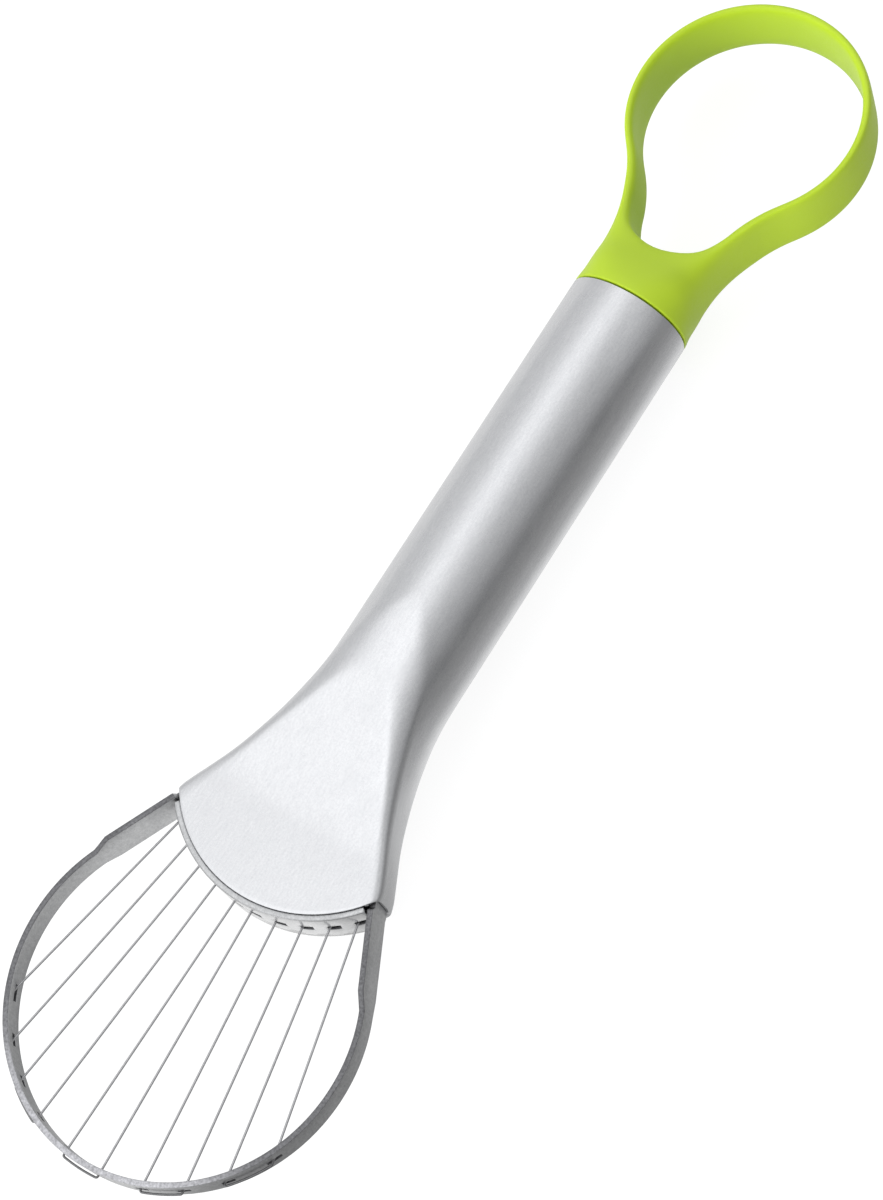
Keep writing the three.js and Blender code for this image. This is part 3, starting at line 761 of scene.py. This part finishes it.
rim = Vector((collar_gap, tube_radius))
loop_centre = Vector((loop_reach, 0))
arm = meeting_point(rim, arm_fillet, loop_centre, loop_radius + arm_fillet)
loop_inner = loop_radius - loop_thick
saddle = Vector((saddle_reach + saddle_radius, 0))
hollow = meeting_point(
    saddle, saddle_radius + hollow_radius, loop_centre, loop_inner + hollow_radius,
)


def scoop_side(u):
    """Half the collar's width at u."""
    return arm.y - math.sqrt(arm_fillet**2 - (u - arm.x) ** 2)


def scoop_half_height(u):
    return tube_radius + (loop_half - tube_radius) * smooth(u, collar_length, collar_blend)


def scooped(u, y, z):
    return placed(-u, y, z)


def collar_ring(u_side, u_top, radius=None):
    """A ring round the collar, which may run further along at the top than at the sides."""
    places = []
    for i in range(around):
        turn = 2 * math.pi * i / around
        u = u_side + (u_top - u_side) * math.sin(turn) ** 2
        wide = radius or scoop_side(u)
        high = radius or scoop_half_height(u)
        fullness = 2 if radius else 2 + (collar_fullness - 2) * smooth(u, collar_length, full_at)
        y = math.copysign(abs(math.cos(turn)) ** (2 / fullness), math.cos(turn))
        z = math.copysign(abs(math.sin(turn)) ** (2 / fullness), math.sin(turn))
        places.append(scooped(u, wide * y / to_limit, high * z / to_limit))
    return places


bm = bmesh.new()
bore = tube_radius - tube_wall - collar_gap
inside = bore - spigot_wall
ring = bmesh.ops.create_circle(bm, segments=around, radius=mm, cap_ends=True)["verts"]
for v, place in zip(ring, collar_ring(0, 0, inside)):
    v.co = place
for u, radius in (
    (-spigot_edge, inside), (spigot_edge - spigot_length, inside),
    (-spigot_length, inside + spigot_edge), (-spigot_length, bore - spigot_edge),
    (spigot_edge - spigot_length, bore), (0, bore), (collar_gap, bore + 0.1),
    (collar_gap, tube_radius - 0.25), (collar_gap + 0.12, tube_radius - 0.02),
    (collar_gap + 0.5, tube_radius),
):
    ring = extruded_ring(bm, ring, collar_ring(u, u, radius))
for u_side, u_top in collar_rings:
    ring = extruded_ring(bm, ring, collar_ring(u_side, u_top))

# The saddle between the arms joins the top of the collar's last ring to its bottom.
top, bottom = ring[around // 4], ring[3 * around // 4]
saddle_rim = scoop_half_height(saddle_reach)
saddle_line = [bm.verts.new(scooped(saddle_reach, 0, saddle_rim * level)) for level in inner_levels]
for a, b in zip([top] + saddle_line, saddle_line + [bottom]):
    bm.edges.new((a, b))
outer_side = [ring[(i - half_turn // 2) % around] for i in range(half_turn + 1)]
far_side = [ring[(half_turn + half_turn // 2 - i) % around] for i in range(half_turn + 1)]
arm_ring = outer_side + saddle_line
last_ring = far_side + saddle_line


def arm_section(inner, outer, half_height, squareness):
    """A ring round one arm: up its outside from the bottom, over the top and down its inside."""
    places = []
    for i in range(half_turn + 1):
        turn = math.pi * (i / half_turn - 0.5)
        across = 0.5 + 0.5 * max(math.cos(turn), 0) ** (2 / squareness)
        if i in (0, half_turn):
            across = 0.5
        level = math.copysign(abs(math.sin(turn)) ** (2 / squareness), turn)
        point = inner.lerp(outer, across)
        places.append((point, half_height * level))
    for level in inner_levels:
        across = 0.5 - 0.5 * (1 - abs(level) ** squareness) ** (1 / squareness)
        places.append((inner.lerp(outer, across), half_height * level))
    return places


def on_circle(centre, radius, angle):
    return Vector((centre.x + radius * math.cos(angle), centre.y + radius * math.sin(angle)))


near_angle = math.atan2(hollow.y, hollow.x - saddle.x)
far_angle = math.atan2(hollow.y, hollow.x - loop_reach)
arm_angle = math.atan2(arm.y, arm.x - loop_reach)
sections = []
neck_steps = 3
for i in range(1, neck_steps + 1):
    share = i / neck_steps
    inner = on_circle(saddle, saddle_radius, math.pi + (near_angle - math.pi) * share)
    u = neck_start + (saddle.x + neck_past_saddle - neck_start) * share
    outer = Vector((u, scoop_side(u)))
    mid = (inner.x + outer.x) / 2
    squareness = collar_fullness + (loop_squareness - collar_fullness) * share
    sections.append(arm_section(inner, outer, scoop_half_height(mid), squareness))
arm_steps = 7
inner_from, inner_to = near_angle - math.pi, far_angle - math.pi
outer_from = math.atan2(outer.y - arm.y, outer.x - arm.x)
outer_to = arm_angle - math.pi
for i in range(1, arm_steps + 1):
    share = i / arm_steps
    inner = on_circle(hollow, hollow_radius, inner_from + (inner_to - inner_from) * share)
    outer = on_circle(arm, arm_fillet, outer_from + (outer_to - outer_from) * share)
    mid = (inner.x + outer.x) / 2
    sections.append(arm_section(inner, outer, scoop_half_height(mid), loop_squareness))
loop_steps = 20
for i in range(1, loop_steps + 1):
    inner = on_circle(loop_centre, loop_inner, far_angle * (1 - i / loop_steps))
    outer = on_circle(loop_centre, loop_radius, arm_angle * (1 - i / loop_steps))
    sections.append(arm_section(inner, outer, loop_half, loop_squareness))
back = []
for section in reversed(sections[:-1]):
    back.append([(Vector((p.x, -p.y)), z) for p, z in section])
for section in sections + back:
    arm_ring = extruded_ring(bm, arm_ring, [scooped(p.x, p.y, z) for p, z in section])
extruded_ring(bm, arm_ring, [v.co.copy() for v in last_ring])
seam = 0.002
bmesh.ops.remove_doubles(bm, verts=bm.verts[:], dist=seam * mm)
bmesh.ops.recalc_face_normals(bm, faces=bm.faces[:])

dye_deep, dye_pale = (0.405, 0.570, 0.016, 1), (0.460, 0.630, 0.028, 1)
dye_scale, skin_scale = 55, 2600
skin_smooth, skin_rough = 0.42, 0.52
lime = bpy.data.materials.new("lime_plastic")
lime.use_nodes = True
nodes, links = lime.node_tree.nodes, lime.node_tree.links
plastic = nodes["Principled BSDF"]
plastic.inputs["Subsurface Weight"].default_value = 0.12
plastic.inputs["Subsurface Radius"].default_value = (1, 1, 0.3)
plastic.inputs["Subsurface Scale"].default_value = 0.0008
plastic.inputs["Specular IOR Level"].default_value = 0.4
where = nodes.new("ShaderNodeTexCoord")
drift = nodes.new("ShaderNodeTexNoise")
drift.inputs["Scale"].default_value = dye_scale
drift.inputs["Detail"].default_value = 2
links.new(where.outputs["Object"], drift.inputs["Vector"])
skin = nodes.new("ShaderNodeTexNoise")
skin.inputs["Scale"].default_value = skin_scale
skin.inputs["Detail"].default_value = 3
links.new(where.outputs["Object"], skin.inputs["Vector"])
dye = nodes.new("ShaderNodeMix")
dye.data_type = "RGBA"
dye.inputs["A"].default_value = dye_deep
dye.inputs["B"].default_value = dye_pale
links.new(drift.outputs[0], dye.inputs["Factor"])
links.new(dye.outputs["Result"], plastic.inputs["Base Color"])
gloss = mapped(nodes, links, skin.outputs[0], gloss_from, gloss_to, skin_smooth, skin_rough)
links.new(gloss, plastic.inputs["Roughness"])
relief = nodes.new("ShaderNodeBump")
relief.inputs["Strength"].default_value = 0.12
relief.inputs["Distance"].default_value = 0.00004
links.new(skin.outputs[0], relief.inputs["Height"])
links.new(relief.outputs["Normal"], plastic.inputs["Normal"])
scoop = finished("pit_scoop_visual", bm, lime, "green", "pit_scoop")
smoothing = scoop.modifiers.new("smooth", "SUBSURF")
smooth_levels = 2
smoothing.levels = smoothing.render_levels = smooth_levels
